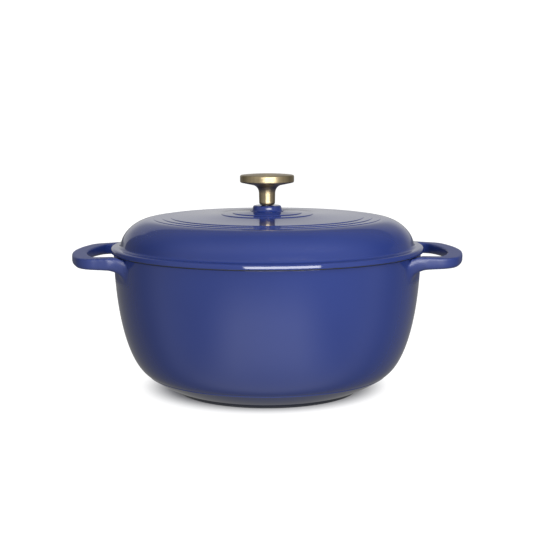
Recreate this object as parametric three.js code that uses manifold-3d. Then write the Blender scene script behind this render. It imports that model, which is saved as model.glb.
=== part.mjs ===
// Enamelled cast-iron casserole: a round pot with two loop handles, and a lift-off lid
// with a brass knob held by a screw from below.
// Millimetres, +Z up. The origin is on the pot's axis at the bottom of its foot ring,
// and the handles point along X.
import * as THREE from "three";
import { mergeVertices } from "three/addons/utils/BufferGeometryUtils.js";
import Module from "manifold-3d";

const wasm = await Module();
wasm.setup();

// Facets round the big castings, the knob, and the small hardware.
const castFacets = 40;
const knobFacets = 28;
const hardwareFacets = 20;

// Pot casting, with its outer enamel counted in the wall.
const potTopZ = 125.5;
const potTopRadius = 137.4;
const potWall = 3.8;
const potFloorZ = 8;
const ridgeRadius = 108.6; // where the curved side meets the base cone
const ridgeZ = 16;
const ridgeStep = 0.9; // the cone starts this much inside the ridge
const sideUpperPull = new THREE.Vector2(136.6, 74);
const sideLowerPull = new THREE.Vector2(126.8, 28);
const sideSteps = 7;
const topEdgeRound = 0.8;

// Foot ring.
const footRadius = 81.6;
const footTopRadius = 83;
const footHeight = 2.4;
const footWidth = 6;
const footRound = 0.6;

// Loop handles, cast with the pot.
const handleTipX = 174.2;
const handleTopZ = 125.5;
const handleThickness = 9;
const handleHalfWidth = 63.5;
const handleArmWidth = 13;
const handleTipWidth = 13;
const handleFrontRadius = 150;
const handleCornerRadius = 20;
const gripFrontRadius = 110;
const gripCornerRadius = 12;
const handleRound = 2;
const handleRootX = 110;
const rootFlare = 6; // extra half width at the root, inside the wall

// Web under each arm of a handle.
const webReachX = 140;
const webPull = new THREE.Vector2(125.5, 112.6);
const webWallX = 119.5;
const webLowZ = 104;
const webRootX = 112;
const webRound = 2;

// Enamel layers that are their own colour.
const enamel = 0.5;
const rimEnamel = 0.6;
const seatEnamel = 0.3;
const bondGap = 0.05; // keeps a fused layer's faces off the iron's
const seatGap = 0.1; // between the closed lid and the pot's rim

// Lid casting.
const lidWall = 3.8;
const flangeRadius = 140;
const flangeHeight = 4.3;
const flangeRound = 2;
const flangeLowRound = 0.5;
const flangeInnerRadius = 131.8;
const flangeInnerRise = 0.2;
const domeFootRadius = 130.1;
const domeFootZ = 136.6;
const domePullLow = new THREE.Vector2(127.6, 144.5);
const domePullHigh = new THREE.Vector2(116.5, 155.3);
const domeSteps = 5;
const crownRadius = 101.9; // outer one of the three fine steps on the crown
const crownZ = 155.1;
const crownStepPitch = 7.55;
const crownStepRise = 0.5;
const crownStepRun = 0.5;
const crownSteps = 3;
const sweepMiddle = new THREE.Vector2(64, 157.3); // the crown rises in a sweep to its middle
const outerRing = new THREE.Vector2(41.5, 158.5);
const innerRing = new THREE.Vector2(31.4, 159.5);
const ringRise = 0.6;
const sweepEnd = new THREE.Vector2(16, 161.2);
const bossBaseRadius = 13.3;
const bossBaseZ = 162.4;
const bossTopRadius = 12.3;
const bossTopZ = 166.4;
const bossRound = 1;

// Locating lip under the lid, which drops inside the pot's mouth.
const lipRadius = 129.8;
const lipWidth = 4.2;
const lipBottomZ = 121.5;
const lipChamfer = 1;

// Knob.
const knobBottomZ = 166.6;
const knobTopZ = 194.9;
const knobRadius = 24.2;
const knobEdgeLowZ = 187;
const knobEdgeHighZ = 193.7;
const knobEdgeRound = 1.1;
const knobCrownPull = 13.3;
const knobFlareRadius = 12.9;
const knobFlareZ = 184.6;
const knobNeckRadius = 7.3;
const knobNeckZ = 177.5;
const flarePullLow = new THREE.Vector2(7.6, 181);
const flarePullHigh = new THREE.Vector2(9.8, 184);
const knobStemRadius = 7.1;
const knobFootRadius = 5;
const knobFootRound = 2.6;

// M6 screw, flat washer and split washer under the lid.
const screwRadius = 2.9;
const holeClearance = 0.35;
const screwTopZ = 180;
const screwTipChamfer = 1;
const boreSpare = 1; // the knob's bore runs on past the screw
const screwHeadRadius = 5.6;
const screwHeadHeight = 3.6;
const screwHeadFlat = 3.4;
const screwHeadEdge = 1;
const driveWidth = 1.3;
const driveLength = 6;
const driveDepth = 1.8;
const washerRadius = 9;
const washerThickness = 1.2;
const splitWasherRadius = 5.2;
const splitWasherThickness = 1.4;
const splitWidth = 1;
const stackGap = 0.1;

// Solid making.
const weldDistance = 1e-3;
const cutPast = 1; // a cutter runs this far past an open end

// Derived heights and radii.
const rimTopZ = potTopZ + bondGap + rimEnamel;
const seatZ = rimTopZ + seatGap;
const flangeBottomZ = seatZ + seatEnamel + bondGap;
const flangeTopZ = flangeBottomZ + flangeHeight;
const crownTopZ = crownZ + crownSteps * crownStepRise;
const lidUndersideZ = crownTopZ - lidWall;
const holeRadius = screwRadius + holeClearance;
const washerTopZ = lidUndersideZ - bondGap - enamel - stackGap;
const splitTopZ = washerTopZ - washerThickness - stackGap;
const headTopZ = splitTopZ - splitWasherThickness - stackGap;

const at = (radius, z) => new THREE.Vector2(radius, z);

// A closed turned solid. The profile runs anticlockwise with the radius to the right.
function turned(profile, facets) {
  return new THREE.LatheGeometry(profile, facets).rotateX(Math.PI / 2);
}

function closed(profile) {
  return [...profile, profile[0].clone()];
}

// Quarter round from one point to the next, bulging towards the corner.
function rounded(from, corner, to, steps = 3) {
  return new THREE.QuadraticBezierCurve(from, corner, to).getPoints(steps);
}

// The same line moved to its left by a distance.
function moved(line, distance) {
  return line.map((point, i) => {
    const before = line[Math.max(i - 1, 0)];
    const after = line[Math.min(i + 1, line.length - 1)];
    const along = after.clone().sub(before).normalize();
    return point.clone().add(at(-along.y, along.x).multiplyScalar(distance));
  });
}

// The part of a rising line above a height, starting on that height.
function above(line, z) {
  const first = line.findIndex((point) => point.y > z);
  const low = line[first - 1];
  const share = (z - low.y) / (line[first].y - low.y);
  return [low.clone().lerp(line[first], share), ...line.slice(first)];
}

function solidOf(geometry) {
  const bare = geometry.clone();
  bare.deleteAttribute("normal");
  bare.deleteAttribute("uv");
  const merged = mergeVertices(bare, weldDistance);
  return new wasm.Manifold(
    new wasm.Mesh({
      numProp: 3,
      vertProperties: merged.attributes.position.array,
      triVerts: new Uint32Array(merged.index.array),
    }),
  );
}

function geometryOf(solid) {
  const mesh = solid.getMesh();
  return new THREE.BufferGeometry()
    .setAttribute("position", new THREE.BufferAttribute(mesh.vertProperties, 3))
    .setIndex(new THREE.BufferAttribute(mesh.triVerts, 1));
}

// Outside of the pot from the foot up to the mouth.
function potSide() {
  const cone = [at(footTopRadius, footHeight), at(ridgeRadius - ridgeStep, ridgeZ)];
  const side = new THREE.CubicBezierCurve(
    at(ridgeRadius, ridgeZ + ridgeStep / 2),
    sideLowerPull,
    sideUpperPull,
    at(potTopRadius, potTopZ),
  ).getPoints(sideSteps);
  return [...cone, ...side];
}

// Inside of the iron, from the floor's edge up past the mouth.
function potInside(extra) {
  const inside = above(moved(potSide(), potWall + extra), potFloorZ + extra);
  const top = inside[inside.length - 1];
  top.set(potTopRadius - potWall - extra, potTopZ);
  return inside;
}

// One arm-to-arm outline: a wide front arc between two corner arcs.
function loopArcs(tipX, frontRadius, cornerRadius, halfWidth) {
  const centreX = tipX - frontRadius;
  const turn = Math.asin((halfWidth - cornerRadius) / (frontRadius - cornerRadius));
  const cornerX = centreX + (frontRadius - cornerRadius) * Math.cos(turn);
  return { centreX, frontRadius, turn, cornerX, cornerRadius, cornerY: halfWidth - cornerRadius };
}

function handlePlan() {
  const outer = loopArcs(handleTipX, handleFrontRadius, handleCornerRadius, handleHalfWidth);
  const gripHalfWidth = handleHalfWidth - handleArmWidth;
  const gripTipX = handleTipX - handleTipWidth;
  const grip = loopArcs(gripTipX, gripFrontRadius, gripCornerRadius, gripHalfWidth);
  const quarter = Math.PI / 2;
  const plan = new THREE.Shape();
  plan.moveTo(handleRootX, -handleHalfWidth - rootFlare);
  plan.absarc(outer.cornerX, -outer.cornerY, outer.cornerRadius, -quarter, -outer.turn, false);
  plan.absarc(outer.centreX, 0, outer.frontRadius, -outer.turn, outer.turn, false);
  plan.absarc(outer.cornerX, outer.cornerY, outer.cornerRadius, outer.turn, quarter, false);
  plan.lineTo(handleRootX, handleHalfWidth + rootFlare);
  plan.lineTo(handleRootX, gripHalfWidth);
  plan.absarc(grip.cornerX, grip.cornerY, grip.cornerRadius, quarter, grip.turn, true);
  plan.absarc(grip.centreX, 0, grip.frontRadius, grip.turn, -grip.turn, true);
  plan.absarc(grip.cornerX, -grip.cornerY, grip.cornerRadius, -grip.turn, -quarter, true);
  plan.lineTo(handleRootX, -gripHalfWidth);
  return plan;
}

function handleLoop() {
  const loop = new THREE.ExtrudeGeometry(handlePlan(), {
    depth: handleThickness - 2 * handleRound,
    bevelThickness: handleRound,
    bevelSize: handleRound,
    bevelOffset: -handleRound,
    bevelSegments: 2,
    curveSegments: 3,
  });
  return loop.translate(0, 0, handleTopZ - handleThickness + handleRound);
}

// The web below one arm, its middle at the given distance from the pot's centre plane.
function handleWeb(middleY) {
  const armBottomZ = handleTopZ - handleThickness;
  const side = new THREE.Shape();
  side.moveTo(webRootX, webLowZ);
  side.lineTo(webWallX, webLowZ);
  side.quadraticCurveTo(webPull.x, webPull.y, webReachX, armBottomZ);
  side.lineTo(webReachX, armBottomZ + handleThickness / 2);
  side.lineTo(webRootX, armBottomZ + handleThickness / 2);
  const web = new THREE.ExtrudeGeometry(side, {
    depth: handleArmWidth - 2 * webRound,
    bevelThickness: webRound,
    bevelSize: webRound,
    bevelOffset: -webRound,
    bevelSegments: 2,
    curveSegments: 6,
  });
  web.rotateX(Math.PI / 2);
  return web.translate(0, middleY + handleArmWidth / 2 - webRound, 0);
}

function potHandles() {
  const armY = handleHalfWidth - handleArmWidth / 2;
  const one = solidOf(handleLoop()).add(solidOf(handleWeb(armY))).add(solidOf(handleWeb(-armY)));
  return one.add(one.rotate([0, 0, 180]));
}

function potOutside() {
  const inner = footRadius - footWidth;
  return [
    at(0, footHeight),
    at(inner - footRound, footHeight),
    ...rounded(at(inner, footRound), at(inner, 0), at(inner + footRound, 0), 2),
    ...rounded(at(footRadius - footRound, 0), at(footRadius, 0), at(footRadius, footRound), 2),
    ...potSide().slice(0, -1),
    at(potTopRadius, potTopZ - topEdgeRound),
    at(potTopRadius - topEdgeRound, potTopZ),
    at(0, potTopZ),
  ];
}

function potCavity() {
  const inside = potInside(0);
  const mouth = inside[inside.length - 1];
  return [at(0, potFloorZ), ...inside, at(mouth.x, potTopZ + cutPast), at(0, potTopZ + cutPast)];
}

function potGeometry() {
  const outside = solidOf(turned(potOutside(), castFacets));
  const cavity = solidOf(turned(potCavity(), castFacets));
  return geometryOf(outside.add(potHandles()).subtract(cavity));
}

function potInteriorEnamel() {
  const outside = potInside(bondGap);
  const inside = potInside(bondGap + enamel);
  return [
    at(0, potFloorZ + bondGap),
    ...outside,
    ...inside.reverse(),
    at(0, potFloorZ + bondGap + enamel),
  ];
}

function potRimEnamel() {
  const low = potTopZ + bondGap;
  const inner = potTopRadius - potWall - enamel - bondGap;
  const outer = potTopRadius - topEdgeRound / 2;
  return closed([
    at(inner, low),
    at(outer, low),
    at(outer, rimTopZ - rimEnamel / 2),
    at(outer - rimEnamel / 2, rimTopZ),
    at(inner + rimEnamel / 2, rimTopZ),
    at(inner, rimTopZ - rimEnamel / 2),
  ]);
}

// Outside of the lid's dome, from the flange up to the crown's outer step.
function domeSide() {
  return new THREE.CubicBezierCurve(
    at(domeFootRadius, domeFootZ),
    domePullLow,
    domePullHigh,
    at(crownRadius, crownZ),
  ).getPoints(domeSteps);
}

function crownProfile() {
  const steps = [];
  for (let i = 0; i < crownSteps; i += 1) {
    const radius = crownRadius - i * crownStepPitch;
    const z = crownZ + i * crownStepRise;
    steps.push(at(radius - crownStepRun, z + crownStepRise));
    if (i > 0) steps.splice(-1, 0, at(radius, z));
  }
  return steps;
}

// The sweep, its two fine rings and the boss, on to the edge of the screw hole.
function centreProfile() {
  const rings = [outerRing, innerRing].flatMap((ring) => [
    ring,
    at(ring.x - ringRise, ring.y + ringRise),
  ]);
  return [
    sweepMiddle,
    ...rings,
    sweepEnd,
    at(bossBaseRadius, bossBaseZ),
    at(bossTopRadius, bossTopZ - bossRound),
    at(bossTopRadius - bossRound, bossTopZ),
    at(holeRadius, bossTopZ),
  ];
}

// Inside of the lid's iron, from the lip's bottom up to the centre hole.
function lidInside(extra) {
  const dome = moved(domeSide(), lidWall + extra);
  const ceiling = lidUndersideZ - extra;
  const ceilingRadius = crownRadius - (crownSteps - 1) * crownStepPitch;
  const lipInner = lipRadius - lipWidth - extra;
  return [at(lipInner, lipBottomZ), ...dome, at(ceilingRadius, ceiling), at(holeRadius, ceiling)];
}

function lidProfile() {
  return closed([
    ...lidInside(0).reverse(),
    at(lipRadius - lipChamfer, lipBottomZ),
    at(lipRadius, lipBottomZ + lipChamfer),
    at(lipRadius, flangeBottomZ),
    at(flangeRadius - flangeLowRound, flangeBottomZ),
    at(flangeRadius, flangeBottomZ + flangeLowRound),
    ...rounded(
      at(flangeRadius, flangeTopZ - flangeRound),
      at(flangeRadius, flangeTopZ),
      at(flangeRadius - flangeRound, flangeTopZ),
    ),
    ...rounded(
      at(flangeInnerRadius, flangeTopZ + flangeInnerRise),
      at(domeFootRadius, flangeTopZ + flangeInnerRise),
      at(domeFootRadius, domeFootZ),
    ).slice(0, -1),
    ...domeSide(),
    ...crownProfile(),
    ...centreProfile(),
  ]);
}

function lidInteriorEnamel() {
  const against = lidInside(bondGap);
  const face = lidInside(bondGap + enamel);
  return closed([...against, ...face.reverse()]);
}

function lidSeatEnamel() {
  const back = lipRadius + bondGap;
  const face = back + seatEnamel;
  const outer = flangeRadius - 2 * flangeLowRound;
  const low = lipBottomZ + lipChamfer;
  return closed([
    at(back, low),
    at(face, low),
    at(face, seatZ),
    at(outer, seatZ),
    at(outer, seatZ + seatEnamel),
    at(back, seatZ + seatEnamel),
  ]);
}

function knobProfile() {
  const crown = new THREE.QuadraticBezierCurve(
    at(knobRadius - knobEdgeRound, knobEdgeHighZ),
    at(knobCrownPull, knobTopZ),
    at(0, knobTopZ),
  );
  const flare = new THREE.CubicBezierCurve(
    at(knobNeckRadius, knobNeckZ),
    flarePullLow,
    flarePullHigh,
    at(knobFlareRadius, knobFlareZ),
  );
  const boreTopZ = screwTopZ + boreSpare;
  return [
    at(0, boreTopZ + holeRadius / 2),
    at(holeRadius, boreTopZ),
    at(holeRadius, knobBottomZ),
    ...rounded(
      at(knobFootRadius, knobBottomZ),
      at(knobStemRadius, knobBottomZ),
      at(knobStemRadius, knobBottomZ + knobFootRound),
    ),
    ...flare.getPoints(6),
    at(knobRadius - knobEdgeRound, knobEdgeLowZ),
    at(knobRadius, knobEdgeLowZ + knobEdgeRound),
    at(knobRadius, knobEdgeHighZ - knobEdgeRound),
    ...crown.getPoints(6),
  ];
}

function screwProfile() {
  const headLowZ = headTopZ - screwHeadHeight;
  return [
    at(0, headLowZ),
    ...rounded(
      at(screwHeadFlat, headLowZ),
      at(screwHeadRadius, headLowZ),
      at(screwHeadRadius, headTopZ - screwHeadEdge),
    ),
    at(screwHeadRadius, headTopZ),
    at(screwRadius, headTopZ),
    at(screwRadius, screwTopZ - screwTipChamfer),
    at(screwRadius - screwTipChamfer, screwTopZ),
    at(0, screwTopZ),
  ];
}

function screwGeometry() {
  const depthZ = 2 * driveDepth;
  const slotZ = headTopZ - screwHeadHeight;
  const slots = [
    new THREE.BoxGeometry(driveLength, driveWidth, depthZ),
    new THREE.BoxGeometry(driveWidth, driveLength, depthZ),
  ];
  let screw = solidOf(turned(screwProfile(), hardwareFacets));
  for (const slot of slots) {
    screw = screw.subtract(solidOf(slot.translate(0, 0, slotZ)));
  }
  return geometryOf(screw);
}

function washerProfile() {
  const low = washerTopZ - washerThickness;
  return closed([
    at(holeRadius, low),
    at(washerRadius, low),
    at(washerRadius, washerTopZ),
    at(holeRadius, washerTopZ),
  ]);
}

function splitWasherGeometry() {
  const outerTurn = Math.asin(splitWidth / 2 / splitWasherRadius);
  const innerTurn = Math.asin(splitWidth / 2 / holeRadius);
  const ring = new THREE.Shape();
  ring.absarc(0, 0, splitWasherRadius, outerTurn, 2 * Math.PI - outerTurn, false);
  ring.absarc(0, 0, holeRadius, 2 * Math.PI - innerTurn, innerTurn, true);
  const washer = new THREE.ExtrudeGeometry(ring, {
    depth: splitWasherThickness,
    bevelEnabled: false,
    curveSegments: hardwareFacets / 2,
  });
  return washer.translate(0, 0, splitTopZ - splitWasherThickness);
}

const finishes = {
  blue: { color: 0x1d3f9c, roughness: 0.15, metalness: 0 },
  cream: { color: 0xe9e1cf, roughness: 0.2, metalness: 0 },
  black: { color: 0x17181a, roughness: 0.6, metalness: 0 },
  brass: { color: 0xa98a54, roughness: 0.35, metalness: 1 },
  steel: { color: 0xb4b6b8, roughness: 0.35, metalness: 1 },
};

const nodes = {
  pot: [potGeometry(), "blue"],
  pot_interior_enamel: [turned(potInteriorEnamel(), castFacets), "cream"],
  pot_rim_enamel: [turned(potRimEnamel(), castFacets), "black"],
  lid: [turned(lidProfile(), castFacets), "blue"],
  lid_interior_enamel: [turned(lidInteriorEnamel(), castFacets), "cream"],
  lid_seat_enamel: [turned(lidSeatEnamel(), castFacets), "black"],
  knob: [turned(knobProfile(), knobFacets), "brass"],
  knob_screw: [screwGeometry(), "steel"],
  knob_washer: [turned(washerProfile(), hardwareFacets), "steel"],
  knob_split_washer: [splitWasherGeometry(), "steel"],
};

const group = new THREE.Group();
group.name = "casserole";
for (const [name, [geometry, finish]] of Object.entries(nodes)) {
  const mesh = new THREE.Mesh(geometry, new THREE.MeshStandardMaterial(finishes[finish]));
  mesh.name = name;
  group.add(mesh);
}

export default group;
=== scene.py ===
import math
import bpy
import bmesh
from mathutils import Matrix, Vector
from mathutils.geometry import interpolate_bezier


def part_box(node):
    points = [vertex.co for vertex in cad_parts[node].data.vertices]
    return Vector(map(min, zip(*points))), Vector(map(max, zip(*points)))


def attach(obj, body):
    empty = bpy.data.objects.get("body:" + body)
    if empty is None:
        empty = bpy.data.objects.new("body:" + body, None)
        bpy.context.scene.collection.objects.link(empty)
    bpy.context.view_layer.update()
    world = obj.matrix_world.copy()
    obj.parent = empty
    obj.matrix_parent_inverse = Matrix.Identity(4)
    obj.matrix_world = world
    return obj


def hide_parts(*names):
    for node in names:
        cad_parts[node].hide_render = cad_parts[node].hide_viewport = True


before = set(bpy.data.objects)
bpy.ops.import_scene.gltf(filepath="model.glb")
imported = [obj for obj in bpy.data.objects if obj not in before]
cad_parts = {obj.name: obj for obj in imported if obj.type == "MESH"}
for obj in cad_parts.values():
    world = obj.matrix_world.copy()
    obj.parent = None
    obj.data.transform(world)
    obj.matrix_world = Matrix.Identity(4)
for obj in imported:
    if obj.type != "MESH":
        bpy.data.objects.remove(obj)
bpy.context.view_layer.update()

mm = 0.001  # the shape dictionaries are in millimetres, the scene in metres
fullTurn = 2 * math.pi

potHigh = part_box("pot")[1]
lidLow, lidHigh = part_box("lid")
knobLow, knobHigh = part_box("knob")


# Shader maths.

class Wire:
    # one output socket; + - * / on it add the Math node
    def __init__(self, finish, socket):
        self.finish = finish
        self.socket = socket

    def maths(self, operation, *others):
        values = {i: other for i, other in enumerate(others, 1)}
        return self.finish.add("ShaderNodeMath", {"operation": operation}, {0: self, **values})

    def flipped(self, operation, other):
        return self.finish.add("ShaderNodeMath", {"operation": operation}, {0: other, 1: self})

    def __add__(self, other):
        return self.maths("ADD", other)

    def __sub__(self, other):
        return self.maths("SUBTRACT", other)

    def __mul__(self, other):
        return self.maths("MULTIPLY", other)

    def __truediv__(self, other):
        return self.maths("DIVIDE", other)

    def __rsub__(self, other):
        return self.flipped("SUBTRACT", other)

    __radd__ = __add__
    __rmul__ = __mul__

    def between(self, low, high):
        # 0 below low, 1 above high, smooth in the middle
        settings = {"interpolation_type": "SMOOTHSTEP"}
        return self.finish.add("ShaderNodeMapRange", settings, {0: self, 1: low, 2: high})


class Finish:
    # the nodes of one material or of the world
    def __init__(self, owner):
        owner.use_nodes = True
        self.owner = owner
        self.tree = owner.node_tree
        self.tree.nodes.clear()

    def add(self, kind, settings=None, inputs=None, output=0):
        node = self.tree.nodes.new(kind)
        for key, value in (settings or {}).items():
            setattr(node, key, value)
        for key, value in (inputs or {}).items():
            if isinstance(value, Wire):
                self.tree.links.new(value.socket, node.inputs[key])
            else:
                node.inputs[key].default_value = value
        return Wire(self, node.outputs[output]) if node.outputs else None

    def place(self):
        return self.add("ShaderNodeTexCoord", output="Object")

    def noise(self, where, scale, detail=2.0, roughness=0.5):
        values = {"Vector": where, "Scale": scale, "Detail": detail, "Roughness": roughness}
        return self.add("ShaderNodeTexNoise", None, values)

    def parts(self, where):
        node = self.tree.nodes.new("ShaderNodeSeparateXYZ")
        self.tree.links.new(where.socket, node.inputs[0])
        return [Wire(self, out) for out in node.outputs]

    def mixed(self, share, first, second):
        settings = {"data_type": "RGBA"}
        return self.add("ShaderNodeMix", settings, {0: share, 6: first, 7: second}, output=2)

    def bump(self, height, distance, strength=1.0, under=None):
        values = {"Height": height, "Distance": distance, "Strength": strength}
        if under:
            values["Normal"] = under
        return self.add("ShaderNodeBump", None, values)

    def surface(self, **values):
        named = {key.replace("_", " "): value for key, value in values.items()}
        shader = self.add("ShaderNodeBsdfPrincipled", None, named)
        self.add("ShaderNodeOutputMaterial", None, {"Surface": shader})
        return self.owner


def newFinish(name):
    return Finish(bpy.data.materials.new(name))


def lengthOf(x, y):
    return (x * x + y * y).maths("SQRT")


# The finishes, one for each slot. Noise scales are to the metre, and depths are in metres.

blueLook = {
    "deep": (0.0078, 0.0180, 0.100, 1),
    "thin": (0.0100, 0.0215, 0.112, 1),     # where the glaze runs thin
    "clouds": 9.0,
    "cloudEdge": (0.35, 0.7),
    "cloudTone": 0.7,
    "specks": 420.0,
    "speckTone": 0.15,
    # bare iron at the foot, darkened further as a painted contact shade where the pot meets the floor
    "bareFootPaintedShade": (0.004, 0.006, 0.014, 1),
    "footEdge": (2.2 * mm, 2.7 * mm),
    "footGloss": 0.4,
    "gloss": 0.06,
    "cloudGloss": 0.02,
    "handleGloss": 0.34,                    # the handles are left pebbled, so they shine less
    "handleZone": (112 * mm, 121 * mm),     # how far out along X the pebbling sets in
    "handleLow": (98 * mm, 106 * mm),       # and how high up
    "handleTop": (127.0 * mm, 127.1 * mm),  # above this only what stands past the flange is handle
    "pastFlange": (141 * mm, 142 * mm),
    "pebbles": 320.0,
    "pebbleDepth": 0.00006,
    "peel": 130.0,                          # the glaze's orange peel
    "peelDepth": 0.00003,
    "waves": 22.0,
    "waveDepth": 0.00018,
}


def blueEnamel():
    look = blueLook
    finish = newFinish("blue enamel")
    place = finish.place()
    x, y, z = finish.parts(place)
    cloud = finish.noise(place, look["clouds"], 3.0)
    speck = finish.noise(place, look["specks"], 1.0)
    tone = cloud.between(*look["cloudEdge"]) * look["cloudTone"] + speck * look["speckTone"]
    # the bottom band takes the dark foot colour: bare iron, partly a painted contact shade
    foot = 1 - z.between(*look["footEdge"])
    colour = finish.mixed(foot, finish.mixed(tone, look["deep"], look["thin"]), look["bareFootPaintedShade"])
    handle = x.maths("ABSOLUTE").between(*look["handleZone"]) * z.between(*look["handleLow"])
    overRim = z.between(*look["handleTop"]) * (1 - lengthOf(x, y).between(*look["pastFlange"]))
    handle = handle * (1 - overRim)
    gloss = look["gloss"] + cloud * look["cloudGloss"]
    gloss = gloss + foot * look["footGloss"] + handle * look["handleGloss"]
    skin = finish.bump(finish.noise(place, look["peel"]), look["peelDepth"], 0.6)
    skin = finish.bump(finish.noise(place, look["waves"], 1.0), look["waveDepth"], 0.5, skin)
    skin = finish.bump(finish.noise(place, look["pebbles"]) * handle, look["pebbleDepth"], 1.0, skin)
    return finish.surface(Base_Color=colour, Roughness=gloss, Normal=skin, IOR=1.52)


creamLook = {
    "pale": (0.80, 0.74, 0.60, 1),
    "warm": (0.74, 0.67, 0.52, 1),
    "clouds": 14.0,
    "cloudEdge": (0.3, 0.75),
    "gloss": 0.18,
    "cloudGloss": 0.06,
    "peel": 150.0,
    "peelDepth": 0.00004,
}


def creamEnamel():
    look = creamLook
    finish = newFinish("cream enamel")
    place = finish.place()
    cloud = finish.noise(place, look["clouds"], 3.0)
    peel = finish.noise(place, look["peel"])
    colour = finish.mixed(cloud.between(*look["cloudEdge"]), look["pale"], look["warm"])
    return finish.surface(Base_Color=colour, Roughness=look["gloss"] + cloud * look["cloudGloss"],
                          Normal=finish.bump(peel, look["peelDepth"], 0.5), IOR=1.5)


blackLook = {
    "deep": (0.010, 0.010, 0.011, 1),
    "grey": (0.022, 0.022, 0.024, 1),
    "grain": 900.0,
    "grainDepth": 0.00003,
    "clouds": 30.0,
    "gloss": 0.52,
    "cloudGloss": 0.15,
}


def blackEnamel():
    look = blackLook
    finish = newFinish("matte black enamel")
    place = finish.place()
    grain = finish.noise(place, look["grain"], 3.0)
    cloud = finish.noise(place, look["clouds"])
    colour = finish.mixed(grain, look["deep"], look["grey"])
    return finish.surface(Base_Color=colour, Roughness=look["gloss"] + cloud * look["cloudGloss"],
                          Normal=finish.bump(grain, look["grainDepth"], 0.5))


brassLook = {
    "bright": (0.51, 0.42, 0.25, 1),
    "aged": (0.33, 0.26, 0.155, 1),
    "clouds": 60.0,
    "cloudEdge": (0.3, 0.7),
    "cloudTone": 0.35,
    "lines": 1500.0,        # the brush lines, which run round the axis
    "lineTurn": 0.0015,     # how little a line changes along its way round
    "lineTone": 0.25,
    "lineDepth": 0.00006,
    "spokes": 260.0,        # faint wear that changes round the rim
    "spokeTurn": 0.03,
    "spokeEdge": (0.35, 0.65),
    "spokeTone": 0.4,
    "gloss": 0.32,
    "lineGloss": 0.12,
    "streak": 0.55,         # how far the brushing draws a highlight out
}


def brushedBrass():
    look = brassLook
    finish = newFinish("brushed brass")
    place = finish.place()
    x, y, z = finish.parts(place)
    turn = y.maths("ARCTAN2", x)
    along = {0: lengthOf(x, y), 1: turn * look["lineTurn"], 2: z}
    lines = finish.noise(finish.add("ShaderNodeCombineXYZ", None, along), look["lines"], 3.0, 0.7)
    cloud = finish.noise(place, look["clouds"], 3.0)
    spokes = finish.add("ShaderNodeCombineXYZ", None, {0: turn * look["spokeTurn"]})
    wear = finish.noise(spokes, look["spokes"], 3.0, 0.6)
    tone = cloud.between(*look["cloudEdge"]) * look["cloudTone"]
    tone = tone + wear.between(*look["spokeEdge"]) * look["spokeTone"] + lines * look["lineTone"]
    colour = finish.mixed(tone, look["bright"], look["aged"])
    # the brush ran round the axis, so a quarter turn draws each highlight out across the lines
    return finish.surface(Base_Color=colour, Metallic=1.0,
                          Anisotropic=look["streak"], Anisotropic_Rotation=0.25,
                          Roughness=look["gloss"] + lines * look["lineGloss"],
                          Normal=finish.bump(lines, look["lineDepth"], 1.0))


steelLook = {
    "bright": (0.62, 0.62, 0.63, 1),
    "dull": (0.48, 0.48, 0.49, 1),
    "grain": 1200.0,
    "grainDepth": 0.00001,
    "gloss": 0.3,
    "grainGloss": 0.1,
}


def screwSteel():
    look = steelLook
    finish = newFinish("screw steel")
    grain = finish.noise(finish.place(), look["grain"])
    colour = finish.mixed(grain, look["bright"], look["dull"])
    return finish.surface(Base_Color=colour, Metallic=1.0,
                          Roughness=look["gloss"] + grain * look["grainGloss"],
                          Normal=finish.bump(grain, look["grainDepth"], 0.5))


finishes = {
    "blue_enamelled_iron": blueEnamel(),
    "cream_enamel": creamEnamel(),
    "black_enamel": blackEnamel(),
    "brushed_brass": brushedBrass(),
    "screw_steel": screwSteel(),
}
print("finishes made")


# Shape helpers. A half section's points are (radius, 0, height) in millimetres.

arcPull = 0.55      # makes a bezier curve nearly an arc
bendLeast = 0.06    # a line that turns less than this, in radians, counts as smooth


def spot(radius, height):
    return Vector((radius, 0, height))


def rounded(corners, steps=5):
    # corners are (radius, height, rounding), and the rounding is how far the arc starts from the corner
    points = []
    for i, (radius, height, rounding) in enumerate(corners):
        here = spot(radius, height)
        if not rounding:
            points.append(here)
            continue
        before = spot(*corners[i - 1][:2])
        after = spot(*corners[(i + 1) % len(corners)][:2])
        start = here + (before - here).normalized() * rounding
        end = here + (after - here).normalized() * rounding
        points += interpolate_bezier(start, start.lerp(here, arcPull), end.lerp(here, arcPull), end,
                                     steps + 1)
    return points


def guarded(points, guard=0.4):
    # where the line turns, an extra point close by on each long side keeps the shading of flat faces flat
    kept = []
    last = len(points) - 1
    for i, here in enumerate(points):
        inward = here - points[max(i - 1, 0)]
        outward = points[min(i + 1, last)] - here
        turns = 0 < i < last and inward.angle(outward) > bendLeast
        if turns and inward.length > 5 * guard:
            kept.append(here - inward.normalized() * guard)
        kept.append(here)
        if turns and outward.length > 5 * guard:
            kept.append(here + outward.normalized() * guard)
    return kept


def shifted(points, distance):
    # the same line, moved to its left
    moved = []
    for i, here in enumerate(points):
        along = (points[min(i + 1, len(points) - 1)] - points[max(i - 1, 0)]).normalized()
        moved.append(here + Vector((-along.z, 0, along.x)) * distance)
    return moved


def reachAt(line, height):
    # radius of a rising line at a height
    for low, high in zip(line, line[1:]):
        if low.z <= height <= high.z:
            return low.lerp(high, (height - low.z) / max(high.z - low.z, 1e-9)).x
    return line[-1].x if height > line[-1].z else line[0].x


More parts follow.
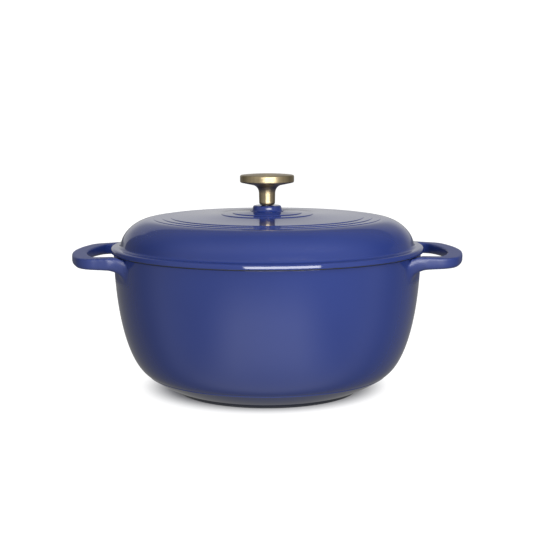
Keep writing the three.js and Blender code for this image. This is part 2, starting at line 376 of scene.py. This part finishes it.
def spun(points, steps=192, closed=False, angle=fullTurn, start=0.0):
    # a bmesh of the half section spun round the upright axis
    bm = bmesh.new()
    place = Matrix.Rotation(start, 3, "Z") * mm
    verts = [bm.verts.new(place @ p) for p in points]
    pairs = list(zip(verts, verts[1:])) + ([(verts[-1], verts[0])] if closed else [])
    edges = [bm.edges.new(pair) for pair in pairs]
    bmesh.ops.spin(bm, geom=verts + edges, cent=(0, 0, 0), axis=(0, 0, 1), angle=angle,
                   steps=steps, use_merge=angle == fullTurn)
    bmesh.ops.remove_doubles(bm, verts=bm.verts, dist=0.002 * mm)
    return bm


def solid(bm, name):
    # the bmesh as an object, its normals outward and its faces smooth
    bmesh.ops.recalc_face_normals(bm, faces=bm.faces)
    for face in bm.faces:
        face.smooth = True
    mesh = bpy.data.meshes.new(name)
    bm.to_mesh(mesh)
    bm.free()
    made = bpy.data.objects.new(name, mesh)
    bpy.context.scene.collection.objects.link(made)
    return made


def worked(made):
    # its modifiers worked into its mesh
    shown = made.evaluated_get(bpy.context.evaluated_depsgraph_get())
    mesh = bpy.data.meshes.new_from_object(shown)
    made.modifiers.clear()
    made.data = mesh
    return made


def placed(made, body, node, slot):
    made.data.materials.clear()
    made.data.materials.append(finishes[slot])
    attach(made, body)
    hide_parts(node)
    print("made", made.name, len(made.data.polygons), "faces")
    return made


# The pot with its two handles, its lining and its rim coat.

potShape = {
    "mouthRadius": potHigh.y / mm,
    "top": potHigh.z / mm,
    "wall": 3.8,
    "floor": 8.0,
    "ridge": (108.6, 16.4),
    "ridgeStep": 0.9,
    "ridgeDrop": 1.0,
    "upperPull": (136.6, 74.0),
    "lowerPull": (126.8, 28.0),
    "coneBulge": 0.9,
    "footTopRadius": 83.0,
    "footRadius": 81.6,
    "footHeight": 2.4,
    "footWidth": 6.0,
    "cornerHeight": 5.0,    # the inside's corner is round from here down
    "cornerRun": 12.0,
    "cornerPull": 13.0,
    "lipRound": 0.2,
    "coat": 0.5,
    "bond": 0.05,
    "rimCoat": 0.6,
}


def potSide(steps=44):
    s = potShape
    ridgeRadius, ridgeHeight = s["ridge"]
    foot = spot(s["footTopRadius"], s["footHeight"])
    coneTop = spot(ridgeRadius - s["ridgeStep"], ridgeHeight - s["ridgeDrop"])
    bulge = Vector((0.5, 0, -0.86)) * s["coneBulge"]
    ridge = spot(ridgeRadius, ridgeHeight)
    cone = interpolate_bezier(foot, foot.lerp(coneTop, 0.33) + bulge, foot.lerp(coneTop, 0.67) + bulge,
                              coneTop, 8)
    step = interpolate_bezier(coneTop, coneTop + spot(0.5, 0.1), spot(ridgeRadius, ridgeHeight - 0.4),
                              ridge, 5)
    side = interpolate_bezier(ridge, spot(*s["lowerPull"]), spot(*s["upperPull"]),
                              spot(s["mouthRadius"], s["top"]), steps)
    return cone[:-1] + step[:-1] + side


def potInside(depth):
    # smooth line inside the iron, from the floor's edge up to the mouth
    s = potShape
    line = shifted(potSide(), depth)
    floor = s["floor"] - s["wall"] + depth
    kept = [p for p in line if p.z > floor + s["cornerHeight"]]
    start = spot(reachAt(line, floor + 1.2) - s["cornerRun"], floor)
    joined = interpolate_bezier(start, spot(start.x + s["cornerPull"], floor),
                                kept[0].lerp(kept[2], -1.6), kept[0], 9)
    kept[-1] = spot(s["mouthRadius"] - depth, s["top"])
    return joined[:-1] + kept


def potSection():
    s = potShape
    inner = s["footRadius"] - s["footWidth"]
    foot = rounded([
        (inner - 0.8, s["footHeight"], 0.5),
        (inner, 0, 0.9),
        (s["footRadius"], 0, 0.9),
        (s["footTopRadius"] - 0.2, s["footHeight"], 0),
    ])[1:]
    lip = rounded([
        (s["mouthRadius"] - 0.05, s["top"] - 4, 0),
        (s["mouthRadius"], s["top"], s["lipRound"]),
        (s["mouthRadius"] - s["wall"], s["top"], 0.3),
        (s["mouthRadius"] - s["wall"], s["top"] - 2, 0),
    ])[1:-1]
    middle = spot(0, s["footHeight"])
    inside = potInside(s["wall"])[:-1]
    return guarded([middle] + foot + potSide()[:-1] + lip + inside[::-1] + [spot(0, s["floor"])])


handleShape = {
    "tip": 174.2,
    "thickness": 9.6,
    "halfWidth": 63.5,
    "armWidth": 13.0,
    "tipWidth": 13.0,
    "frontRadius": 150.0,
    "cornerRadius": 20.0,
    "gripFrontRadius": 110.0,
    "gripCornerRadius": 12.0,
    "rootFlare": 4.2,
    "topRound": 0.8,
    "lowRound": 3.4,
    "webReach": 140.0,
    "webPull": (125.5, 112.6),
    "webWall": 119.5,
    "webBack": 118.0,
    "webLow": 104.0,
    "webLap": 4.0,          # how far a web runs up into its arm
    "webInset": 0.4,
    "webRound": 2.4,
    "inWall": 121.0,        # the arms' ends, inside the wall
    "patchLow": 96.0,
    "patchDepth": 2.4,
    "patchSpread": math.radians(36),
    "patchSteps": 90,
    "topRise": (1.4, 1.0),  # the top stands over the rim beside the flange, and drops outwards
    "topRun": (4.0, 22.0),
    "lowRise": 0.025,
    "voxel": 0.9,
    "filletPasses": 110,
    "deepest": 2.4,         # how far in the arms' ends reach, less than the wall's thickness
    "skinPasses": 5,
    "rootZone": (-1.5, 13.0),   # how far off the wall the blend reaches
    "rimBand": 1.2,             # this near the rim it keeps its height
    "tuck": 0.05,               # how far the blended skin sinks under the wall
    "tuckFade": 2.0,
}


def within(share):
    return min(max(share, 0), 1)


def eased(share):
    share = within(share)
    return share * share * (3 - 2 * share)


def arc(middleX, middleY, radius, fromAngle, toAngle, steps):
    turns = [fromAngle + (toAngle - fromAngle) * i / steps for i in range(steps + 1)]
    return [(middleX + radius * math.cos(t), middleY + radius * math.sin(t)) for t in turns]


def loopLine(tip, frontRadius, cornerRadius, halfWidth):
    # one side of the loop from arm to arm: corner, wide front arc, corner
    turn = math.asin((halfWidth - cornerRadius) / (frontRadius - cornerRadius))
    middleX = tip - frontRadius
    cornerX = middleX + (frontRadius - cornerRadius) * math.cos(turn)
    cornerY = halfWidth - cornerRadius
    quarter = math.pi / 2
    return (arc(cornerX, -cornerY, cornerRadius, -quarter, -turn, 10)
            + arc(middleX, 0, frontRadius, -turn, turn, 28)[1:-1]
            + arc(cornerX, cornerY, cornerRadius, turn, quarter, 10))


def handlePlan():
    s = handleShape
    grip = s["halfWidth"] - s["armWidth"]
    outer = loopLine(s["tip"], s["frontRadius"], s["cornerRadius"], s["halfWidth"])
    inner = loopLine(s["tip"] - s["tipWidth"], s["gripFrontRadius"], s["gripCornerRadius"], grip)
    inWall = s["inWall"]
    flared = s["halfWidth"] + s["rootFlare"]
    return ([(inWall, -flared)] + outer + [(inWall, flared), (inWall - 1, grip)] + inner[::-1]
            + [(inWall - 1, -grip)])


def slab(plan, low, high, topRound, lowRound):
    # a flat outline given a thickness, with its edges rounded
    bm = bmesh.new()
    verts = [bm.verts.new(Vector((x, y, low)) * mm) for x, y in plan]
    bottom = bm.faces.new(verts)
    made = bmesh.ops.extrude_face_region(bm, geom=[bottom])["geom"]
    topVerts = [g for g in made if isinstance(g, bmesh.types.BMVert)]
    bmesh.ops.translate(bm, verts=topVerts, vec=Vector((0, 0, high - low)) * mm)
    topEdges = [e for e in bm.edges if all(v in topVerts for v in e.verts)]
    lowEdges = [e for e in bm.edges if all(v in verts for v in e.verts)]
    for edges, size in ((topEdges, topRound), (lowEdges, lowRound)):
        bmesh.ops.bevel(bm, geom=edges, offset=size * mm, segments=5, profile=0.5, affect="EDGES",
                        material=-1)
    bmesh.ops.recalc_face_normals(bm, faces=bm.faces)
    return bm


def handleWeb(middle):
    # the web under one arm, drawn in the XZ plane and then stood up
    s = handleShape
    underside = potShape["top"] - s["thickness"]
    pull = Vector((*s["webPull"], 0))
    curve = interpolate_bezier(Vector((s["webWall"], s["webLow"], 0)), pull, pull,
                               Vector((s["webReach"], underside + 0.5, 0)), 9)
    plan = [(p.x, p.y) for p in curve]
    high = underside + s["webLap"]
    plan += [(s["webReach"], high), (s["webBack"], high), (s["webBack"], s["webLow"])]
    half = s["armWidth"] / 2 - s["webInset"]
    web = slab(plan, -half, half, s["webRound"], s["webRound"])
    bmesh.ops.rotate(web, verts=web.verts, cent=(0, 0, 0), matrix=Matrix.Rotation(math.pi / 2, 3, "X"))
    bmesh.ops.translate(web, verts=web.verts, vec=Vector((0, middle, 0)) * mm)
    return web


def wallPatch():
    # a piece of the pot's own wall behind the handle, for the arms to blend into
    s = handleShape
    outside = [p for p in potSide() if s["patchLow"] < p.z < potShape["top"] - 0.4]
    inside = shifted(outside, s["patchDepth"])
    spread = s["patchSpread"]
    patch = spun(outside + inside[::-1], s["patchSteps"], closed=True, angle=2 * spread, start=-spread)
    ends = [e for e in patch.edges if e.is_boundary]
    bmesh.ops.holes_fill(patch, edges=ends, sides=0)
    bmesh.ops.recalc_face_normals(patch, faces=patch.faces)
    return patch


def gathered(parts):
    # several bmeshes in one
    whole = bmesh.new()
    for part in parts:
        mesh = bpy.data.meshes.new("part")
        part.to_mesh(mesh)
        part.free()
        whole.from_mesh(mesh)
        bpy.data.meshes.remove(mesh)
    return whole


def smoothed(bm, verts, passes=1, upright=True):
    for i in range(passes):
        bmesh.ops.smooth_vert(bm, verts=verts, factor=0.5, use_axis_x=True, use_axis_y=True,
                              use_axis_z=upright)


def handleSkin():
    # the right-hand handle as one skin, its arms blended into the wall
    s = handleShape
    top = potShape["top"]
    side = potSide()
    loop = slab(handlePlan(), top - s["thickness"], top, s["topRound"], s["lowRound"])
    armMiddle = s["halfWidth"] - s["armWidth"] / 2
    rough = solid(gathered([loop, handleWeb(armMiddle), handleWeb(-armMiddle), wallPatch()]), "handle")
    remesh = rough.modifiers.new("one skin", "REMESH")
    remesh.mode = "VOXEL"
    remesh.voxel_size = s["voxel"] * mm
    worked(rough)
    skin = bmesh.new()
    skin.from_mesh(rough.data)
    bpy.data.objects.remove(rough)

    def gap(v):
        return (math.hypot(v.co.x, v.co.y) / mm) - reachAt(side, v.co.z / mm)

    nearest, farthest = s["rootZone"]
    root = [v for v in skin.verts if nearest < gap(v) < farthest]
    sides = [v for v in root if v.co.z / mm < top - s["rimBand"]]
    rim = [v for v in root if v.co.z / mm >= top - s["rimBand"]]
    for i in range(s["filletPasses"]):
        smoothed(skin, sides)
        smoothed(skin, rim, upright=False)
    smoothed(skin, skin.verts, s["skinPasses"])
    for v in skin.verts:
        away = within(gap(v) / s["tuckFade"])
        flat = Vector((v.co.x, v.co.y, 0)).normalized()
        v.co -= flat * (s["tuck"] * (1 - away) + min(gap(v) + s["deepest"], 0)) * mm
        out = math.hypot(v.co.x, v.co.y) / mm - lidHigh.y / mm
        share = within((v.co.z / mm - top) / s["thickness"] + 1)
        near, far = s["topRun"]
        topRise = s["topRise"][0] * eased(out / near) - s["topRise"][1] * eased((out - near) / far)
        lowRise = max(v.co.x / mm - potShape["mouthRadius"], 0) * s["lowRise"]
        v.co.z += (share * topRise + (1 - share) * lowRise) * mm
    return skin


def makePot():
    right = handleSkin()
    left = right.copy()
    bmesh.ops.rotate(left, verts=left.verts, cent=(0, 0, 0), matrix=Matrix.Rotation(math.pi, 3, "Z"))
    body = spun(potSection(), 224)
    bmesh.ops.recalc_face_normals(body, faces=body.faces)
    pot = solid(gathered([body, right, left]), "pot_casting")
    return placed(pot, "pot", "pot", "blue_enamelled_iron")


def makePotLining():
    s = potShape
    outer = potInside(s["wall"] + s["bond"])
    inner = potInside(s["wall"] + s["bond"] + s["coat"])
    outer[-1].z = inner[-1].z = s["top"]
    floor = [spot(0, outer[0].z)]
    section = guarded(floor + outer) + guarded(inner[::-1] + [spot(0, inner[0].z)])
    return placed(solid(spun(section), "pot_lining"), "pot", "pot_interior_enamel", "cream_enamel")


def makePotRim():
    s = potShape
    low = s["top"] + s["bond"]
    high = low + s["rimCoat"]
    outer = s["mouthRadius"] - 0.25
    inner = s["mouthRadius"] - s["wall"] - s["coat"] - s["bond"]
    section = rounded([(inner, low, 0.1), (outer, low, 0.1), (outer, high, 0.4), (inner, high, 0.4)], 4)
    coat = solid(spun(section, 256, closed=True), "pot_rim_coat")
    return placed(coat, "pot", "pot_rim_enamel", "black_enamel")


makePot()
makePotLining()
makePotRim()


# The lid, its lining and the coat on its seat.

lidShape = {
    "flangeRadius": lidHigh.y / mm,
    "flangeLow": 126.6,
    "flangeHeight": 4.3,
    "flangeRound": 2.2,
    "flangeFace": (1.1, 0.8, 0.55),     # how far up and down its outer face leans, and how far in
    "flangeInner": 131.8,
    "flangeRise": 0.2,
    "domeFoot": (130.1, 136.6),
    "domePullLow": (127.6, 144.5),
    "domePullHigh": (116.5, 155.3),
    "crown": (101.9, 155.1),
    "ceiling": (90.0, 80.0),            # where the dome's inside pulls to, and where it is flat
    "stepPitch": 7.55,
    "stepRise": 0.5,
    "stepRun": 0.5,
    "steps": 3,
    "rings": ((41.5, 158.5), (31.4, 159.5)),
    "ringRise": 0.6,
    "sweepEnd": (18.0, 161.0),
    "bossBase": (13.5, 161.5),
    "bossTop": (12.3, lidHigh.z / mm),
    "wall": 3.8,
    "hole": 3.25,
    "lipRadius": 129.8,
    "lipWidth": 4.2,
    "lipLow": lidLow.z / mm,
    "coat": 0.5,
    "seatCoat": 0.3,
    "bond": 0.05,
}


def domeLine():
    s = lidShape
    return interpolate_bezier(spot(*s["domeFoot"]), spot(*s["domePullLow"]), spot(*s["domePullHigh"]),
                              spot(*s["crown"]), 26)


def crownLine():
    # the three fine steps, the sweep up to the middle with its two fine rings, and the boss
    s = lidShape
    radius, height = s["crown"]
    corners = [(radius + 1, height, 0)]
    for i in range(s["steps"]):
        corners.append((radius, height, 0.25))
        corners.append((radius - s["stepRun"], height + s["stepRise"], 0.25))
        radius -= s["stepPitch"]
        height += s["stepRise"]
    line = rounded(corners + [(radius, height, 0)])[1:-1]
    (outRadius, outHeight), (inRadius, inHeight) = s["rings"]
    plateau = interpolate_bezier(line[-1], line[-1] + spot(-16, 0.45), spot(outRadius + 14, outHeight - 1.0),
                                 spot(outRadius, outHeight), 14)
    rise = s["ringRise"]
    middle = rounded([
        (outRadius + 2, outHeight - 0.15, 0),
        (outRadius, outHeight, 0.25),
        (outRadius - rise, outHeight + rise, 0.25),
        (inRadius, inHeight, 0.25),
        (inRadius - rise, inHeight + rise, 0.25),
        (*s["sweepEnd"], 3.0),
        (*s["bossBase"], 1.6),
        (*s["bossTop"], 1.1),
        (s["hole"], s["bossTop"][1], 0.2),
        (s["hole"], s["bossTop"][1] - 3, 0),
    ])[1:-1]
    return line + plateau[1:-1] + middle


def lidInside(depth):
    # smooth line inside the iron, from the lip up to the screw's hole
    s = lidShape
    ceiling = s["crown"][1] + s["steps"] * s["stepRise"] - depth
    dome = shifted(domeLine(), depth)
    inner = s["lipRadius"] - s["lipWidth"] - (depth - s["wall"])
    start = dome[0].copy()
    wall = interpolate_bezier(spot(inner, s["lipLow"] + 2), spot(inner, s["lipLow"] + 8),
                              start.lerp(dome[1], -2), start, 8)
    flat, end = s["ceiling"]
    span = interpolate_bezier(dome[-1], dome[-1] + (dome[-1] - dome[-2]) * 3, spot(flat, ceiling),
                              spot(end, ceiling), 8)
    return wall[:-1] + dome + span[1:] + [spot(s["hole"] + 0.3, ceiling)]


def makeLid():
    s = lidShape
    inside = lidInside(s["wall"])
    low = s["flangeLow"]
    high = low + s["flangeHeight"]
    inner = s["lipRadius"] - s["lipWidth"]
    faceLow, faceHigh, faceLean = s["flangeFace"]
    lip = rounded([
        (inner, s["lipLow"] + 2, 0),
        (inner, s["lipLow"], 0.8),
        (s["lipRadius"], s["lipLow"], 1.0),
        (s["lipRadius"], low, 0.3),
        (s["flangeRadius"], low, 0.4),
        (s["flangeRadius"], low + faceLow, 0.6),
        (s["flangeRadius"] - faceLean, high - faceHigh, 0.7),
        (s["flangeRadius"] - s["flangeRound"], high, 1.0),
        (s["flangeInner"], high + s["flangeRise"], 2.0),
        (*s["domeFoot"], 0),
    ])[1:-1]
    outside = lip + domeLine()[:-1] + crownLine()
    section = guarded(inside[::-1][:-1] + outside)
    lid = solid(spun(section, 256, closed=True), "lid_casting")
    return placed(lid, "lid", "lid", "blue_enamelled_iron")


def makeLidLining():
    s = lidShape
    back = lidInside(s["wall"] + s["bond"])
    face = lidInside(s["wall"] + s["bond"] + s["coat"])
    section = guarded(back) + guarded(face[::-1])
    return placed(solid(spun(section, closed=True), "lid_lining"), "lid", "lid_interior_enamel", "cream_enamel")


def makeLidSeat():
    s = lidShape
    back = s["lipRadius"] + s["bond"]
    face = back + s["seatCoat"]
    outer = s["flangeRadius"] - 0.7
    top = s["flangeLow"] - s["bond"]
    low = top - s["seatCoat"]
    section = rounded([(back, s["lipLow"] + 1.2, 0.05), (face, s["lipLow"] + 1.4, 0.1), (face, low, 0.2),
                       (outer, low, 0.1), (outer, top, 0.1), (back, top, 0.05)], 3)
    coat = solid(spun(guarded(section), 256, closed=True), "lid_seat_coat")
    return placed(coat, "lid", "lid_seat_enamel", "black_enamel")


makeLid()
makeLidLining()
makeLidSeat()


# The knob, with the screw and washers that hold it.

knobShape = {
    "low": knobLow.z / mm,
    "top": knobHigh.z / mm - 0.4,
    "radius": 24.2,
    "edgeLow": 187.0,
    "edgeHigh": 193.4,
    "edgeRound": 1.1,
    "crownStart": 0.6,
    "flare": (12.9, 184.6),
    "neck": (7.3, 177.5),
    "stem": 7.1,
    "footRound": 2.4,
    "bore": 3.25,
    "boreTop": 181.0,       # the screw's blind hole ends here
}


def makeKnob():
    s = knobShape
    flare = spot(*s["flare"])
    neck = spot(*s["neck"])
    stem = rounded([
        (s["bore"], s["low"] + 2, 0),
        (s["bore"], s["low"], 0.3),
        (s["stem"], s["low"], s["footRound"]),
        (neck.x, neck.z, 0),
    ], 7)[:-1]
    horn = interpolate_bezier(neck, neck + spot(0.3, 3.5), flare + spot(-3.7, -0.9), flare, 14)
    edge = rounded([
        (flare.x, flare.z, 0),
        (s["radius"], s["edgeLow"], s["edgeRound"]),
        (s["radius"], s["edgeHigh"], s["edgeRound"]),
        (s["radius"] * s["crownStart"], s["top"] - 0.2, 0),
    ])[1:-1]
    crown = interpolate_bezier(edge[-1], edge[-1] + spot(-5, 0.6), spot(9, s["top"]),
                               spot(0, s["top"]), 16)
    bore = [spot(0, s["boreTop"] + 1.6), spot(s["bore"], s["boreTop"])]
    section = bore + stem + horn + edge + crown[1:]
    return placed(solid(spun(guarded(section), 128), "brass_knob"), "lid", "knob", "brushed_brass")


screwShape = {"thread": 2.9, "head": 5.6, "headHeight": 3.6, "drive": (6.0, 1.3, 1.8)}


def makeScrew():
    s = screwShape
    low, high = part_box("knob_screw")
    headLow, tip = low.z / mm, high.z / mm
    headTop = headLow + s["headHeight"]
    section = [spot(0, headLow)] + rounded([
        (0, headLow, 0),
        (s["head"], headLow, 2.0),
        (s["head"], headTop, 0.3),
        (s["thread"], headTop, 0.3),
        (s["thread"], tip, 0.9),
        (0, tip, 0),
    ])[1:]
    screw = solid(spun(guarded(section, 0.2), 64), "screw")
    length, width, depth = s["drive"]
    for size in ((length, width, 2 * depth), (width, length, 2 * depth)):
        cutter = bmesh.new()
        bmesh.ops.create_cube(cutter, size=1, matrix=Matrix.Diagonal((*[v * mm for v in size], 1)))
        bmesh.ops.translate(cutter, verts=cutter.verts, vec=(0, 0, headLow * mm))
        tool = solid(cutter, "drive cutter")
        cut = screw.modifiers.new("drive", "BOOLEAN")
        cut.operation = "DIFFERENCE"
        cut.object = tool
        worked(screw)
        bpy.data.objects.remove(tool)
    return placed(screw, "lid", "knob_screw", "screw_steel")


splitAngle = 11


def washerSection(node, hole):
    low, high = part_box(node)
    return rounded([(hole, low.z / mm, 0.15), (high.y / mm, low.z / mm, 0.2),
                    (high.y / mm, high.z / mm, 0.2), (hole, high.z / mm, 0.15)], 3)


def makeWashers():
    hole = lidShape["hole"]
    flat = solid(spun(washerSection("knob_washer", hole), 96, closed=True), "flat_washer")
    placed(flat, "lid", "knob_washer", "screw_steel")
    split = math.radians(splitAngle)
    ring = spun(washerSection("knob_split_washer", hole), 96, closed=True, angle=fullTurn - split,
                start=split / 2)
    bmesh.ops.holes_fill(ring, edges=[e for e in ring.edges if e.is_boundary], sides=0)
    placed(solid(ring, "split_washer"), "lid", "knob_split_washer", "screw_steel")


makeKnob()
makeScrew()
makeWashers()


# Floor, light and camera.

studio = {
    "floorSize": 40.0,
    "floorColour": (0.12, 0.12, 0.122, 1),
    "floorGlow": 0.94,
    "paintedShadowAt": (-0.0025, 0.012),    # centre of the painted contact shadow that the pot stands in, which dims the floor's glow
    "shadeEdge": (0.080, 0.118),
    "paintedShadowColour": (0.07, 0.07, 0.08, 1),
    "backdropGlow": 1.05,
    "aim": (0, 0, 0.12),            # where the lamps point
    "softbox": {"power": 40.0, "size": (1.6, 0.6), "at": (0.3, -1.6, 0.53)},
    "backLight": {"power": 16.0, "size": (1.0, 1.0), "at": (-0.8, 1.6, 0.9), "mirrored": False},
    "topLight": {"power": 27.0, "size": (1.0, 1.0), "at": (0.9, -0.8, 1.65), "mirrored": False},
}

# The room as the glaze mirrors it. The pairs are where a band begins and ends, along a direction.
room = {
    "around": 0.18,
    "front": 0.5,                   # the room above and behind the camera
    "frontBand": (-0.4, 0.5),
    "overhead": 0.2,
    "overheadBand": (0.3, 0.9),
    "wall": 0.65,                   # the white wall behind the pot
    "wallDepth": (0.1, 0.2),
    "wallLow": (-0.02, 0.04),
    "wallTop": (0.59, 0.65),        # height over distance
    "wallLeft": (-0.72, -0.68),     # left edge over distance
    "wallRight": (0.05, 1.0),
    "rightFade": 0.8,
    "highFade": 0.2,                # how much darker the wall is higher up
    "highBand": (0.12, 0.3),
    "leastDepth": 0.05,
    "table": 0.58,                  # the white table
    "tableEdge": (-0.15, -0.02),
    "tableBack": 0.5,               # how much darker it is behind the pot, in its shade
    "backBand": (-0.15, 0.3),
    "patch": 0.76,                  # its bright patch in front
    "patchLean": 0.9,
    "patchNear": (0.2, 1.35),
    "patchLow": (0.1, 0.45),
    "patchSide": (0.3, 0.8),
    "patchEnd": (0.55, 0.95),
    "patchFade": 0.45,
}

eyeShape = {"lens": 86.42, "at": (-0.0003, -1.144, 0.264), "down": 7.62, "roll": 0.15}


def unmirrored(sheet, finish):
    # the camera sees it, but the glaze doesn't, and it lights nothing
    sheet.data.materials.append(finish.owner)
    sheet.visible_glossy = False
    sheet.visible_diffuse = False


def makeFloor():
    bm = bmesh.new()
    bmesh.ops.create_grid(bm, x_segments=1, y_segments=1, size=studio["floorSize"] / 2)
    floor = solid(bm, "floor")
    finish = newFinish("floor")
    x, y, z = finish.parts(finish.place())
    # a painted contact shadow: the floor's glow turns dark towards the pot's foot
    paintedShadowX, paintedShadowY = studio["paintedShadowAt"]
    away = lengthOf(x - paintedShadowX, y - paintedShadowY)
    glowWithPaintedShadow = finish.mixed(away.between(*studio["shadeEdge"]), studio["paintedShadowColour"], (1, 1, 1, 1))
    finish.surface(Base_Color=studio["floorColour"], Roughness=0.7, Emission_Color=glowWithPaintedShadow,
                   Emission_Strength=studio["floorGlow"])
    unmirrored(floor, finish)


def makeBackdrop():
    bm = bmesh.new()
    bmesh.ops.create_grid(bm, x_segments=1, y_segments=1, size=studio["floorSize"] / 2)
    turn = Matrix.Rotation(math.pi / 2, 3, "X")
    bmesh.ops.rotate(bm, verts=bm.verts, cent=(0, 0, 0), matrix=turn)
    bmesh.ops.translate(bm, verts=bm.verts, vec=(0, studio["floorSize"] / 2 - 1, 0))
    backdrop = solid(bm, "backdrop")
    finish = newFinish("backdrop")
    finish.surface(Base_Color=(0, 0, 0, 1), Emission_Color=(1, 1, 1, 1),
                   Emission_Strength=studio["backdropGlow"])
    unmirrored(backdrop, finish)


def makeSky():
    world = bpy.data.worlds.new("studio")
    bpy.context.scene.world = world
    sky = Finish(world)
    x, y, z = sky.parts(sky.add("ShaderNodeTexCoord", output="Generated"))
    s = room
    front = -1 * y
    down = -1 * z
    depth = y.maths("MAXIMUM", s["leastDepth"])
    side = x / depth
    height = z / depth
    wall = y.between(*s["wallDepth"]) * side.between(*s["wallLeft"])
    wall = wall * (1 - side.between(*s["wallRight"]) * s["rightFade"])
    wall = wall * (1 - height.between(*s["wallTop"])) * z.between(*s["wallLow"])
    wallGlow = s["wall"] - z.between(*s["highBand"]) * s["highFade"]
    light = s["around"] + front.between(*s["frontBand"]) * s["front"]
    light = light + z.between(*s["overheadBand"]) * s["overhead"]
    light = light + wall * (wallGlow - light)
    patch = (front - z * s["patchLean"]).between(*s["patchNear"]) * down.between(*s["patchLow"])
    patch = patch * (1 - x.maths("ABSOLUTE").between(*s["patchSide"]))
    patch = patch * (1 - down.between(*s["patchEnd"]) * s["patchFade"])
    shade = 1 - y.between(*s["backBand"]) * s["tableBack"]
    table = (s["table"] + patch * s["patch"]) * shade
    below = 1 - z.between(*s["tableEdge"])
    light = light + below * (table - light)
    background = sky.add("ShaderNodeBackground", None, {"Color": (1, 1, 1, 1), "Strength": light})
    sky.add("ShaderNodeOutputWorld", None, {"Surface": background})


def makeLight(name, power, size, at, mirrored=True):
    lamp = bpy.data.lights.new(name, "AREA")
    lamp.shape = "RECTANGLE"
    lamp.size, lamp.size_y = size
    lamp.energy = power
    holder = bpy.data.objects.new(name, lamp)
    holder.location = at
    holder.visible_glossy = mirrored
    holder.rotation_euler = (Vector(studio["aim"]) - Vector(at)).to_track_quat("-Z", "Y").to_euler()
    bpy.context.scene.collection.objects.link(holder)


def makeCamera():
    eye = bpy.data.cameras.new("camera")
    eye.sensor_width = 36
    eye.lens = eyeShape["lens"]
    eye.clip_end = 100
    holder = bpy.data.objects.new("camera", eye)
    holder.location = eyeShape["at"]
    holder.rotation_euler = (math.radians(90 - eyeShape["down"]), math.radians(eyeShape["roll"]), 0)
    bpy.context.scene.collection.objects.link(holder)
    bpy.context.scene.camera = holder


makeFloor()
makeBackdrop()
makeSky()
makeLight("softbox", **studio["softbox"])
makeLight("top light", **studio["topLight"])
makeLight("back light", **studio["backLight"])
makeCamera()
bpy.context.scene.view_settings.view_transform = "Standard"
print("stage set")
